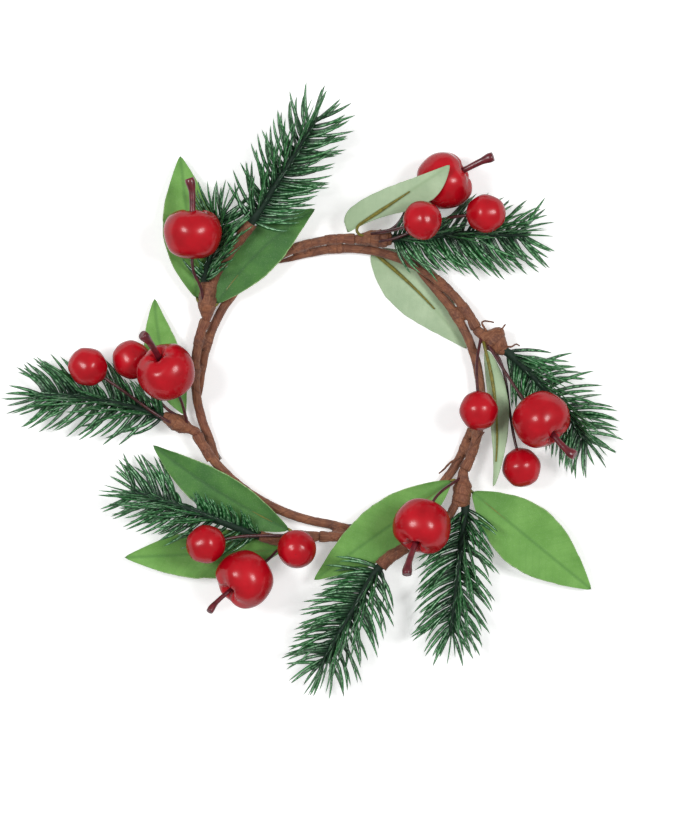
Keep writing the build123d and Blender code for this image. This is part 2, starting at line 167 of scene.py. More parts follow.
class Finish:
    """A material on one Principled shader, whose plain settings are given by socket name."""

    def __init__(self, name, settings):
        self.material = bpy.data.materials.new(name)
        self.material.use_nodes = True
        self.nodes = self.material.node_tree.nodes
        self.shader = self.nodes["Principled BSDF"]
        self.feed(self.shader, settings)

    def feed(self, node, inputs):
        for key, value in inputs.items():
            if isinstance(value, Value):
                self.material.node_tree.links.new(value.socket, node.inputs[key])
            else:
                node.inputs[key].default_value = value

    def node(self, kind, settings, inputs, output=0):
        made = self.nodes.new("ShaderNode" + kind)
        for key, value in settings.items():
            setattr(made, key, value)
        self.feed(made, inputs)
        return Value(self, made.outputs[output])

    def place(self):
        """Position on the object."""
        return self.node("TexCoord", {}, {}, "Object")

    def uv(self):
        """The mesh's own u and v."""
        cut = self.nodes.new("ShaderNodeSeparateXYZ")
        self.feed(cut, {0: self.node("UVMap", {"uv_map": "surface"}, {})})
        return Value(self, cut.outputs[0]), Value(self, cut.outputs[1])

    def facing_up(self):
        """1 on faces that look up, 0 on upright ones."""
        cut = self.nodes.new("ShaderNodeSeparateXYZ")
        self.feed(cut, {0: self.node("TexCoord", {}, {}, "Normal")})
        return Value(self, cut.outputs[2])

    def noise(self, scale, detail=3.0, rough=0.55):
        """Noise from 0 to 1 over the object, with scale in lumps for each metre."""
        inputs = {"Vector": self.place(), "Scale": scale, "Detail": detail, "Roughness": rough}
        return self.node("TexNoise", {}, inputs)

    def streaks(self, u, v, along, across):
        """Noise from 0 to 1 drawn out along u: so many lumps for each unit of u and of v."""
        inputs = {"X": u * along, "Y": v * across, "Z": 0.0}
        place = self.node("CombineXYZ", {}, inputs)
        return self.node("TexNoise", {}, {"Vector": place, "Scale": 1.0, "Detail": 3.0})

    def mix(self, share, first, second):
        """The first colour, or the second where the share is 1."""
        settings = {"data_type": "RGBA", "clamp_factor": True}
        return self.node("Mix", settings, {0: share, 6: first, 7: second}, 2)

    def bump(self, height, depth):
        """A normal from heights of 0 to 1, with the depth in metres."""
        return self.node("Bump", {}, {"Strength": 1.0, "Distance": depth, "Height": height})


def paint(red, green, blue):
    """A screen colour of 0 to 255 as linear light."""
    screen = np.array([red, green, blue]) / 255
    light = np.where(screen < 0.04045, screen / 12.92, ((screen + 0.055) / 1.055) ** 2.4)
    return (*light.tolist(), 1.0)


# Brown crepe paper: fine ridges along the wire, dark seams where the winding laps itself, a
# painted highlight on the ridges with painted shade in the grooves between them, and a reddish
# cast in places.
tape = Finish("brown_paper_tape", {"Roughness": 0.7, "Sheen Weight": 0.1, "Sheen Roughness": 0.5})
u, v = tape.uv()
lap = (u + v).part()
ridge = tape.streaks(u, v, 2.6, 34.0)
blotch = tape.noise(230, 4.0)
colour = tape.mix(blotch.between(0.32, 0.7), paint(98, 54, 36), paint(148, 93, 62))
colour = tape.mix(tape.noise(90).between(0.52, 0.72) * 0.55, colour, paint(118, 58, 42))
# Painted highlight: paler on the ridges.
colour = tape.mix(ridge.between(0.5, 0.75) * 0.45, colour, paint(182, 130, 93))
# Painted shade: darker in the grooves between the ridges.
colour = tape.mix((1 - ridge.between(0.3, 0.48)) * 0.5, colour, paint(74, 40, 29))
seam = 1 - lap.between(0.0, 0.07)
colour = tape.mix(seam * 0.6, colour, paint(56, 29, 21))
tape.feed(
    tape.shader,
    {
        "Base Color": colour,
        "Roughness": blotch * 0.25 + 0.52,
        "Normal": tape.bump(ridge + tape.noise(1100, 4.0) * 0.4, 0.00022),
    },
)


def make(name, grids, finishes):
    """One object from grids of points in millimetres, each with its u and v and finish numbers.

    Neighbouring points make four-sided faces, and points that meet are merged, which closes
    seams and poles. A grid may hold several sheets of the same size, one after another.
    """
    points, faces, corners, numbers, first = [], [], [], [], 0
    for grid, uv, number in grids:
        index = first + np.arange(grid[..., 0].size).reshape(grid.shape[:-1])
        sides = index[..., :-1, :-1], index[..., :-1, 1:], index[..., 1:, 1:], index[..., 1:, :-1]
        quads = np.stack(sides, axis=-1)
        points.append(grid.reshape(-1, 3) * 0.001)
        faces.append(quads.reshape(-1, 4))
        corners.append(np.broadcast_to(uv, (*grid.shape[:-1], 2)).reshape(-1, 2))
        numbers.append(np.broadcast_to(number, quads.shape[:-1]).ravel())
        first += index.size
    faces = np.concatenate(faces)
    mesh = bpy.data.meshes.new(name)
    mesh.from_pydata(np.concatenate(points).tolist(), [], faces.tolist())
    layer = mesh.uv_layers.new(name="surface")
    layer.data.foreach_set("uv", np.concatenate(corners)[faces.ravel()].ravel())
    mesh.polygons.foreach_set("material_index", np.concatenate(numbers).astype(np.int32))
    for finish in finishes:
        mesh.materials.append(finish.material)
    work = bmesh.new()
    work.from_mesh(mesh)
    bmesh.ops.remove_doubles(work, verts=work.verts, dist=1e-7)
    work.to_mesh(mesh)
    work.free()
    mesh.shade_smooth()
    made = bpy.data.objects.new(name, mesh)
    scene.collection.objects.link(made)
    return made


def turned(middle, axis, height, radius):
    """A profile carried round an axis: middle + axis * height + radius * (x * cos + y * sin)."""
    x = unit(np.cross([0, 0, 1], axis))
    y = np.cross(axis, x)
    turn = np.linspace(-0.5 * np.pi, 1.5 * np.pi, radius.shape[1])[None, :, None]
    ring = x * np.cos(turn) + y * np.sin(turn)
    return middle + height[..., None] * axis + radius[..., None] * ring


# The end at a spray is a cuff of tape, hollowed to hold the ball that the spray bends on.
# The first steps of a stem's line lie inside it.
cuff = np.array(
    [
        (1.82, 0), (1.7, 0.62), (1.4, 1.16), (0.95, 1.55),
        (0.85, 1.8), (1.3, 2.0), (2.4, 2.02), (3.6, 1.85),
    ]
)
cuff_reach, cuff_steps = 2.05, 9
stem_lines = {}
for name, spray in sprays.items():
    after = sprays[followers[name]]
    root = ring_point(spray["angle"], root_radius, root_height)
    start = spray["angle"] + np.degrees(cuff_reach / root_radius)
    span = (after["angle"] + after["lap"] - start) % 360
    fading, merge, slide = (8, 8, 1.2) if after["lap"] > short_lap else (4, 15, 2.3)
    half_height = (root_height + spray["tail"]) / 2
    line = circle_arc(
        ring_point(start, root_radius, root_height),
        ring_point(start + span / 2, hoop_radius + spray["half_out"], half_height),
        ring_point(start + span, hoop_radius, spray["tail"]),
        int(span * 3.4),
        1 + fading / span,
    )
    run = run_length(line)
    hug = np.clip((run - run[-1]) / merge + 1, 0, 1)[:, None] ** 2
    line = line + hug * (unit(line * [1, 1, 0]) * slide + [0, 0, 0.6])
    stem_lines[name] = line
    line = line[cuff_steps:]
    uv = tube_uv(line, stem_sides, pitch=8.5)
    skin = (
        0.1 * winding(uv[1:-1])
        + 0.04 * crumple(len(line), stem_sides + 1, 5)
        + 0.015 * crumple(len(line), stem_sides + 1, 2)
    )
    run = run_length(line)
    pinch = np.clip((run[-1] - run) / (fading + 6), 0, 1)[:, None]
    taper = 0.12 + 0.88 * pinch**0.75
    strand = tube(line, (stem_radius - 0.06 + skin) * taper, stem_sides)[1:]
    hollow_radius = cuff[:, 1:] * np.ones(stem_sides + 1)
    hollow = turned(root, unit(line[0] - root), cuff[:, :1], hollow_radius)
    shape = np.concatenate([hollow, strand])
    hollow_uv = uv[:1] * [0, 1] + [[[0.05 * i, 0]] for i in range(len(cuff))] - [0.45, 0]
    uv = np.concatenate([hollow_uv, uv[1:]])
    stem = make(f"taped_stem_{name}", [(shape, uv, 0)], [tape])
    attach(stem, "hoop")
    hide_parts(f"hoop_stem_{name}")

# The bare iron wire runs inside the stems, under their tape.
iron = Finish("bare_iron_wire", {"Metallic": 1.0, "Roughness": 0.45})
rust = iron.noise(900, 4.0).between(0.45, 0.7)
iron.feed(
    iron.shader,
    {
        "Base Color": iron.mix(rust * 0.6, paint(120, 116, 112), paint(96, 62, 44)),
        "Roughness": rust * 0.35 + 0.35,
    },
)
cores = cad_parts["hoop_wire_cores"]
cores.data.materials.clear()
cores.data.materials.append(iron.material)

# Bindings: the same paper tape wound round a tail and the next stem, two or three turns on top
# of each other. They are pressed flat underneath, where the ring lies on the table. A long tail is
# bound twice, and the last binding thins out with the tail.
first_tie, last_tie = 8.0, 4.5
tie_half, tie_rows, tie_sides = 3.5, 29, 61
ties = []
for name, spray in sprays.items():
    before = next(key for key, value in followers.items() if value == name)
    places = [first_tie]
    if spray["lap"] > short_lap:
        places.append(spray["lap"] - last_tie)
    for place in places:
        spots = []
        for line in (stem_lines[name], stem_lines[before]):
            turn = np.degrees(np.arctan2(line[:, 1], line[:, 0])) % 360
            near = abs((turn - spray["angle"] - place + 180) % 360 - 180).argmin()
            spots.append((line[near], unit(line[near + 1] - line[near - 1])))
        (outer, outer_way), (inner, inner_way) = spots
        way = unit(outer_way + inner_way)
        across = outer - inner
        half = np.linalg.norm(across) / 2
        across = unit(across)
        height = np.cross(way, across)
        along = np.linspace(-tie_half, tie_half, tie_rows)
        v = np.linspace(0, 1, tie_sides)
        uv = np.stack(np.meshgrid(along / 2.9, v, indexing="ij"), axis=-1)
        crown = np.clip(1 - (along / (tie_half + 0.1)) ** 2, 0, 1)[:, None]
        turns = 0.08 + 0.14 * winding(uv) + 0.04 * crumple(tie_rows, tie_sides, 3)
        thick = stem_radius + 0.03 + crown**0.7 * turns
        turn = np.linspace(-0.5 * np.pi, 1.5 * np.pi, tie_sides)
        ebb = np.clip((tie_half + 0.3 - along) / 9, 0, 1)[:, None] if place == places[-1] else 1.0
        thick = np.where(np.cos(turn) > 0, 1.0, 0.4 + 0.6 * ebb**0.6) * thick
        reach = (half + thick) * np.cos(turn)
        strand = np.sqrt(np.clip(thick**2 - (abs(reach) - half) ** 2, 0, None))
        web = np.where(abs(reach) < half, thick * (0.15 + 0.5 * crown), 0)
        rise = np.sign(np.sin(turn)) * np.maximum(strand, web)
        slant = 0.5 * np.sin(turn + chance.uniform(0, 6))
        notch = 1 - 0.5 * np.clip(1 - (reach / half) ** 2, 0, 1) * (along < 0)[:, None]
        band = (outer + inner) / 2 + (along[:, None] * notch + slant)[..., None] * way
        band = band + reach[..., None] * across + rise[..., None] * height
        band[..., 2] = np.maximum(band[..., 2], 0.02)
        ends = (band[0].mean(0) + 1.6 * way, band[-1].mean(0))
        caps = [np.broadcast_to(end, (1, tie_sides, 3)) for end in ends]
        band = np.concatenate([caps[0], band, caps[1]])
        ties.append((band, np.concatenate([uv[:1], uv, uv[-1:]]), 0))
bindings = make("tape_bindings", ties, [tape])
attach(bindings, "hoop")
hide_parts("hoop_ties")

# Collars: the thick winding that gathers the wires of one spray, over the bent end of its stem.
# The tape is doubled there, so it is lumpy and its edges stand up.
for name, spray in sprays.items():
    ahead = ring_point(spray["heading"], 1, 0)
    spray["root"] = ring_point(spray["angle"], root_radius, root_height)
    spray["axes"] = np.stack([ahead, np.cross([0, 0, 1], ahead), [0, 0, 1]])


def at(name, places):
    """Points of a spray: its root plus so far along its heading, to the left of it and up."""
    return sprays[name]["root"] + np.asarray(places, float) @ sprays[name]["axes"]


def smooth_line(points, count):
    """A cubic through every point, sloped at each one as its two neighbours lie."""
    p = np.asarray(points, float)
    slope = np.gradient(p, axis=0)
    place = np.linspace(0, len(p) - 1, count)
    i = np.minimum(place.astype(int), len(p) - 2)
    f = (place - i)[:, None]
    rise = p[i] * (1 + 2 * f) * (1 - f) ** 2 + p[i + 1] * f**2 * (3 - 2 * f)
    return rise + slope[i] * f * (1 - f) ** 2 - slope[i + 1] * f**2 * (1 - f)


def turned_uv(rows, columns, pitch=None):
    """u is the share of the way along the profile, or heights over a pitch; v goes once round."""
    u = np.linspace(0, 1, rows) if pitch is None else pitch
    return np.stack(np.meshgrid(u, np.linspace(0, 1, columns), indexing="ij"), axis=-1)


collar_ball = [(-1.74, 0), (-1.3, 1.15), (0, 1.72)]
collar_shapes = {
    "right": [(2.2, 1.95), (4.6, 2.9), (7.4, 3.15), (10.2, 2.5), (12.3, 1.5), (12.6, 0)],
    "upper_right": [(2.5, 2.2), (5, 2.7), (8, 2.9), (10.6, 2.8), (12, 2.1), (12.2, 0)],
    "upper_left": [(2, 2.5), (4, 3.2), (7, 3.2), (10.4, 3.1), (12.3, 2.5), (12.5, 0)],
    "left": [(2.2, 1.72), (4.8, 2.9), (7.6, 3.2), (10.4, 2.4), (12.6, 1.6), (12.8, 0)],
    "lower_left": [(2.5, 2.2), (5, 2.8), (8, 3.0), (10.6, 2.7), (12, 2.0), (12.2, 0)],
    "lower_right": [(2.2, 2.05), (5, 3.0), (8, 3.0), (10.6, 2.8), (12.2, 2.1), (12.4, 0)],
}
rows, columns = 80, 41
for name, profile in collar_shapes.items():
    height, radius = smooth_line(collar_ball + profile, rows).T
    uv = turned_uv(rows, columns, height / 3.1)
    turn = np.linspace(0, 2 * np.pi, columns)
    lump = 0.06 * np.cos(2 * turn + chance.uniform(0, 6))
    lump = lump + 0.04 * np.cos(3 * turn + height[:, None] / 2)
    rough = 0.3 * winding(uv) + 0.14 * crumple(rows, columns, 5)
    rough = rough + 0.07 * crumple(rows, columns, 2) - 0.14
    skin = (np.clip(radius / 2 - 0.4, 0, 1) * np.clip((height - 1.5) / 2.5, 0, 1))[:, None]
    shape = turned(
        at(name, (0, 0, 0)),
        sprays[name]["axes"][0],
        height[:, None] * np.ones(columns),
        radius[:, None] * (1 + lump * skin) + rough * skin,
    )
    if name == "right":
        bulge = 1.3 * np.sin(np.pi * np.clip((height - 2.2) / 10.3, 0, 1) ** 0.8) ** 2
        aside = (shape - at(name, (0, 0, 0))) @ sprays[name]["axes"][1]
        swell = bulge[:, None] * (1 + np.clip(aside / 2.5, -1, 1))
        shape = shape + swell[..., None] * sprays[name]["axes"][1]
    collar = make(f"wound_collar_{name}", [(shape, uv, 0)], [tape])
    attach(collar, f"spray_{name}")
    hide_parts(f"collar_{name}")

# Apples: foam fruit dipped in glossy red lacquer, wider than tall, with soft lobes round a
# puckered dimple. The red has painted shade in the dimple and on the sides that face away
# from the top.
lacquer = Finish("red_lacquer", {"Specular IOR Level": 0.1, "Coat Roughness": 0.28})
u, v = lacquer.uv()
cloud = lacquer.noise(130, 3.0)
colour = lacquer.mix(cloud.between(0.3, 0.72), paint(170, 7, 23), paint(202, 14, 32))
colour = lacquer.mix(lacquer.noise(420, 2.0).between(0.62, 0.8) * 0.25, colour, paint(204, 30, 44))
# Painted shade: darker in the dimple.
colour = lacquer.mix(u.between(0.82, 1.0) * 0.75, colour, paint(92, 8, 18))
# Painted shade: darker on the sides, where the surface turns away from facing up.
top = lacquer.facing_up()
colour = lacquer.mix((1 - top.between(0.05, 0.75)) * 0.55, colour, paint(108, 4, 15))
lacquer.feed(
    lacquer.shader,
    {
        "Base Color": colour,
        "Roughness": cloud * 0.08 + 0.1,
        "Coat Weight": top.between(0.4, 0.85) * 0.7,
        "Normal": lacquer.bump(lacquer.noise(900, 2.0), 0.00005),
    },
)
# Each apple's middle and the way its stalk points, from the spray's root. The crowd gathers
# points with a radius round them, which the needles keep clear of.
crowd = []
apples = {
    "right": ((35.5, -12.0, 13.1), (0.90, -0.23, 0.38)),
    "upper_right": ((31.0, 18.4, 5.8), (0.88, 0.40, 0.20)),
    "upper_left": ((28.4, 5.6, 10.4), (1.0, 0.02, 0.10)),
    "left": ((17.4, -14.4, 15.3), (0.65, -0.49, 0.57)),
    "lower_left": ((26.5, 10.6, 10.3), (0.77, 0.45, 0.45)),
    "lower_right": ((19.0, -13.5, 15.4), (0.85, -0.31, 0.43)),
}
apple_profile = [
    (-7.6, 0), (-7.75, 1.5), (-8.15, 3.9), (-5.5, 8.15), (1.0, 10.15),
    (6.2, 8.4), (8.25, 4.5), (7.3, 2.2), (5.9, 1.0), (5.8, 0),
]
apple_dimple, apple_room = 5.9, 10.4
rows, columns = 64, 61
for name, (place, way) in apples.items():
    middle = at(name, place)
    axis = unit(np.asarray(way) @ sprays[name]["axes"])
    height, radius = smooth_line(apple_profile, rows).T
    turn = np.linspace(0, 2 * np.pi, columns)
    share = np.clip(height / 8, 0, 1)[:, None]
    lobe = 0.035 * share * np.cos(5 * turn + chance.uniform(0, 6))
    lobe = lobe + 0.02 * np.cos(turn + chance.uniform(0, 6))
    height = height[:, None] + 0.25 * share * np.cos(5 * turn + 1)
    shape = turned(middle, axis, height, radius[:, None] * (1 + lobe))
    apple = make(f"glossy_apple_{name}", [(shape, turned_uv(rows, columns), 0)], [lacquer])
    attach(apple, f"spray_{name}")
    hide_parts(f"apple_{name}")
    crowd.append(np.array([[*middle, apple_room]]))

# Stalks: burgundy plastic pegs that lean over and swell to a slanted, dished end.
burgundy = Finish(
    "burgundy_plastic", {"Roughness": 0.3, "Coat Weight": 0.35, "Coat Roughness": 0.15}
)
streak = burgundy.noise(380, 3.0)
burgundy.feed(
    burgundy.shader,
    {
        "Base Color": burgundy.mix(streak.between(0.3, 0.7), paint(74, 15, 25), paint(120, 30, 42)),
        "Roughness": streak * 0.25 + 0.2,
        "Normal": burgundy.bump(burgundy.noise(1500, 2.0), 0.00006),
    },
)
peg_depth, peg_rows, peg_sides = 2.9, 30, 16
peg_places = [-0.25, 0, 0.3, 0.68, 0.9, 1]
peg_radii = [0.95, 1.12, 1.05, 1.2, 1.8, 1.6]
for name, (place, way) in apples.items():
    axis = unit(np.asarray(way) @ sprays[name]["axes"])
    lean = unit(np.cross([0, 0, 1], axis))
    tall = 13.6 if name in ("lower_right", "upper_right", "upper_left") else 12.6
    rise = np.linspace(-peg_depth, tall, peg_rows)
    bend = (-0.6 if name == "upper_right" else 1.3) * np.clip(rise / tall, 0, 1) ** 4
    path = at(name, place) + axis * (apple_dimple + rise)[:, None] + lean * bend[:, None]
    radius = np.interp(rise / tall, peg_places, peg_radii)[:, None]
    radius = radius * (0.72 if name == "lower_left" else 1.0)
    ripple = 1 + 0.04 * np.cos(3 * np.linspace(0, 2 * np.pi, peg_sides + 1))
    shape = tube(path, radius * ripple, peg_sides)
    shape[-1] = shape[-1] - axis * 0.5
    stalk = make(f"apple_peg_{name}", [(shape, tube_uv(path, peg_sides), 0)], [burgundy])
    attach(stalk, f"spray_{name}")
    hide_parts(f"apple_stalk_{name}")
    crowd.append(np.c_[path[6:], radius[6:] + 0.2])

# Berries: round lacquered fruit, a little drawn out at the wire, with a small navel opposite.
# Each row gives a berry's middle and the points of its wire.
berries = {
    "right": (
        ((16.9, -22.4, 10.9), ((2.5, -1.4, 0.9), (6.4, -9.8, 6.5))),
        ((41.0, -29.1, 3.6), ((7, -2.2, -0.6), (14, -3.2, -0.8), (30, -20.0, 1.0))),
    ),
    "upper_right": (
        ((22.6, 4.3, 20.6), ((5, 1.6, 1.9), (13, 2.0, 6.8))),
        ((44.9, 5.9, 12.8), ((7, -1.2, 2.0), (14, -0.6, 2.8), (29.6, 5.5, 7.5))),
    ),
    "left": (
        ((43.3, -4.1, 9.8), ((7, 0.8, 2.2), (14, 0.8, 2.6), (26, -1.5, 6.0))),
        ((31.0, -12.9, 4.8), ((7, -2.2, 0.5), (14, -2.8, 0.7), (22, -7.8, 1.9))),
    ),
    "lower_left": (
        ((38.4, -3.0, 11.8), ((7, -1.2, 2.0), (14, -2.4, 3.0), (27, -4.2, 8.0))),
        ((7.4, 3.1, 11.3), ((6.6, 0.7, 2.0),)),
    ),
}
berry_profile = [
    (-7.0, 0), (-6.95, 0.9), (-6.5, 2.3), (-4.75, 4.9), (0, 6.82),
    (4.9, 4.75), (6.45, 2.3), (6.72, 0.7), (6.62, 0),
]
berry_room = 6.9
rows, columns = 44, 45
wires = {name: [] for name in sprays}
for name, pairs in berries.items():
    for letter, (place, wire) in zip("ab", pairs):
        middle = at(name, place)
        way = unit(middle - at(name, wire[-1]))
        wires[name].append(np.concatenate([at(name, wire), [middle - way * 2.85]]))
        height, radius = smooth_line(berry_profile, rows).T
        turn = np.linspace(0, 2 * np.pi, columns)
        wobble = 1 + 0.008 * np.cos(2 * turn + chance.uniform(0, 6)) + 0.006 * np.cos(3 * turn)
        shape = turned(middle, way, height[:, None], radius[:, None] * wobble)
        uv = turned_uv(rows, columns) * [0.8, 1] + [0.1, 0]
        berry = make(f"glossy_berry_{name}_{letter}", [(shape, uv, 0)], [lacquer])
        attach(berry, f"spray_{name}")
        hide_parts(f"berry_{name}_{letter}")
        crowd.append(np.array([[*middle, berry_room]]))

# Fruit wires: thin iron wire in a smooth burgundy coat, from the collar up into each fruit.
apple_wires = {
    "right": ((6, -1.8, 1.9),),
    "upper_right": ((7, 2.1, 0.8), (14, 2.8, 1.1)),
    "upper_left": ((5, 1.3, 2.0), (10.5, 2.0, 4.8)),
    "left": ((4, -1.6, 1.8),),
    "lower_left": ((7, 1.9, 1.2), (14, 2.4, 1.8)),
    "lower_right": ((2.5, -1.3, 1.3),),
}
wire_radius, wire_rows, wire_sides = 0.55, 48, 10
wire_coat = Finish(
    "burgundy_wire_coat", {"Roughness": 0.35, "Coat Weight": 0.2, "Coat Roughness": 0.2}
)
streak = wire_coat.noise(500, 3.0)
wire_coat.feed(
    wire_coat.shader,
    {
        "Base Color": wire_coat.mix(streak.between(0.3, 0.7), paint(52, 20, 24), paint(92, 36, 40)),
        "Roughness": streak * 0.25 + 0.25,
        "Normal": wire_coat.bump(wire_coat.noise(1500, 2.0), 0.00006),
    },
)


def bent(points, count):
    """A line that leaves each corner out: half runs joined by parabolas, in even steps."""
    p = np.asarray(points, float)
    mid = (p[:-1] + p[1:]) / 2
    starts = np.concatenate([p[:1], mid])
    stops = np.concatenate([mid, p[-1:]])
    pulls = np.concatenate([[(p[0] + mid[0]) / 2], p[1:-1], [(mid[-1] + p[-1]) / 2]])
    t = np.linspace(0, 1, 24)[None, :, None]
    fine = starts[:, None] * (1 - t) ** 2 + 2 * pulls[:, None] * t * (1 - t) + stops[:, None] * t**2
    fine = fine.reshape(-1, 3)
    length = run_length(fine)
    even = np.linspace(0, length[-1], count)
    return np.stack([np.interp(even, length, fine[:, k]) for k in range(3)], axis=-1)


for name, (place, way) in apples.items():
    middle = at(name, place)
    axis = unit(np.asarray(way) @ sprays[name]["axes"])
    ends = [middle - axis * 12.6, middle - axis * 3.6]
    wires[name].append(np.concatenate([at(name, apple_wires[name]), ends]))
for name, routes in wires.items():
    grids = []
    for route in routes:
        path = bent(route, wire_rows)
        thick = wire_radius + 0.02 * crumple(wire_rows, wire_sides + 1, 4)
        grids.append((tube(path, thick, wire_sides), tube_uv(path, wire_sides), 0))
        crowd.append(np.c_[path, np.full(wire_rows, 0.6)])
    coated = make(f"coated_wires_{name}", grids, [wire_coat])
    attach(coated, f"spray_{name}")
    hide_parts(f"fruit_wires_{name}")

# Leaves: polyester cloth, printed green above and pale below, cut to a point and glued to an
# olive paper-covered wire that runs on into the winding. The cut edge shows the paler weave.
def cloth(name, top, shade, vein_and_crease_shade):
    """A woven face: two colours by a soft cloud, a dark line down the middle that is the vein with
    painted shade in its crease, and the weave.
    """
    made = Finish(name, {"Roughness": 0.62, "Sheen Weight": 0.08, "Sheen Roughness": 0.4})
    u, v = made.uv()
    cloud = made.noise(120, 4.0)
    colour = made.mix(cloud.between(0.36, 0.66), top, shade)
    side = abs(v)
    slant = (u * 2.1 - side * 1.6).wave()
    colour = made.mix(slant.between(0.6, 1.0) * side.between(0.4, 3.5) * 0.09, colour, vein_and_crease_shade)
    # The vein down the middle, with painted shade in the crease there.
    colour = made.mix((1 - side.between(0.1, 0.9)) * 0.5, colour, vein_and_crease_shade)
    colour = made.mix((1 - u.between(1.0, 17.0)) * 0.4, colour, vein_and_crease_shade)
    colour = made.mix(made.noise(48, 2.0).between(0.5, 0.7) * 0.25, colour, vein_and_crease_shade)
    weave = (u * 15.0).wave() * (v * 15.0).wave()
    speck = made.noise(2400, 2.0)
    colour = made.mix(weave.between(0.1, 1.0) * 0.1, colour, paint(225, 238, 205))
    colour = made.mix(speck.between(0.56, 0.75) * 0.09, colour, paint(225, 238, 205))
    made.feed(
        made.shader,
        {
            "Base Color": colour,
            "Roughness": cloud * 0.2 + 0.52,
            "Normal": made.bump(weave * 0.35 + speck, 0.00009),
        },
    )
    return made


mid_green = cloth("mid_green_cloth", paint(56, 114, 44), paint(80, 138, 56), paint(32, 84, 34))
light_green = cloth(
    "light_green_cloth", paint(102, 161, 64), paint(124, 181, 86), paint(64, 122, 46)
)
pale_back = cloth(
    "pale_cloth_back", paint(166, 192, 154), paint(185, 208, 171), paint(147, 176, 131)
)
cut_edge = Finish("white_cut_edge", {"Roughness": 0.8})
fray = cut_edge.noise(1300, 3.0)
cut_edge.feed(
    cut_edge.shader,
    {
        "Base Color": cut_edge.mix(
            fray.between(0.35, 0.65), paint(96, 146, 72), paint(176, 202, 146)
        ),
        "Normal": cut_edge.bump(fray, 0.0001),
    },
)
olive = Finish("olive_rib_wire", {"Roughness": 0.55, "Coat Weight": 0.1})
grain = olive.noise(800, 3.0)
olive.feed(
    olive.shader,
    {
        "Base Color": olive.mix(grain.between(0.3, 0.7), paint(98, 94, 26), paint(138, 130, 44)),
        "Roughness": grain * 0.2 + 0.45,
        "Normal": olive.bump(grain, 0.00008),
    },
)
# The spray, where the wire goes in, the blade's base and tip, its width, arch, roll and sideways
# bow, and its upper face.
leaves = {
    "right_a": (
        "right", (4.4, -2.2, 0.6), (7.0, -4.4, 4.9), (36.7, -40.4, 11.2),
        8.5, 4.5, -160, -1.3, light_green,
    ),
    "upper_right_a": (
        "upper_right", (2.4, 1.0, 1.2), (-3.4, 2.4, 3.4), (33.0, 22.9, 19.2),
        13.0, -1.6, 184, 0, light_green,
    ),
    "upper_left_a": (
        "upper_left", (5.0, 2.2, -0.8), (8.8, 5.4, -2.2), (56.5, 11.4, -3.0),
        17.5, 0.8, 0, 0, light_green,
    ),
    "upper_left_b": (
        "upper_left", (4.0, -2.2, -0.3), (6.5, -5.0, 0.0), (39.3, -36.6, 1.2),
        15.5, 0.8, -9, 2.6, mid_green,
    ),
    "left_a": (
        "left", (4.6, -2.2, -0.8), (7.9, -5.6, -2.9), (33.6, -35.6, -4.3),
        12.0, 0.4, 8, 2.4, light_green,
    ),
    "lower_left_a": (
        "lower_left", (8.0, -2.3, 0.6), (11.0, -5.2, 1.0), (52.3, -39.6, 1.3),
        16.0, 0.6, -10, 1.6, mid_green,
    ),
    "lower_left_b": (
        "lower_left", (10.0, 2.4, -0.9), (16.0, 4.0, -2.2), (67.9, -1.9, -3.2),
        17.0, 0.8, 0, 0, light_green,
    ),
    "lower_right_a": (
        "lower_right", (3.5, -2.0, 0.2), (3.2, -6.3, 0.9), (40.5, -50.2, 0.6),
        18.0, 1.2, 0, 0, light_green,
    ),
    "lower_right_b": (
        "lower_right", (5.5, 2.3, -0.8), (8.5, 5.0, -1.2), (38.9, 47.1, -2.8),
        22.0, 1.0, 0, 0, light_green,
    ),
    "upper_right_under": (
        "upper_right", (7.5, -0.9, -4.1), (4.8, -4.2, -5.75), (36.5, -40.2, -5.75),
        18.0, 0.05, 180, -1.8, light_green,
    ),
}
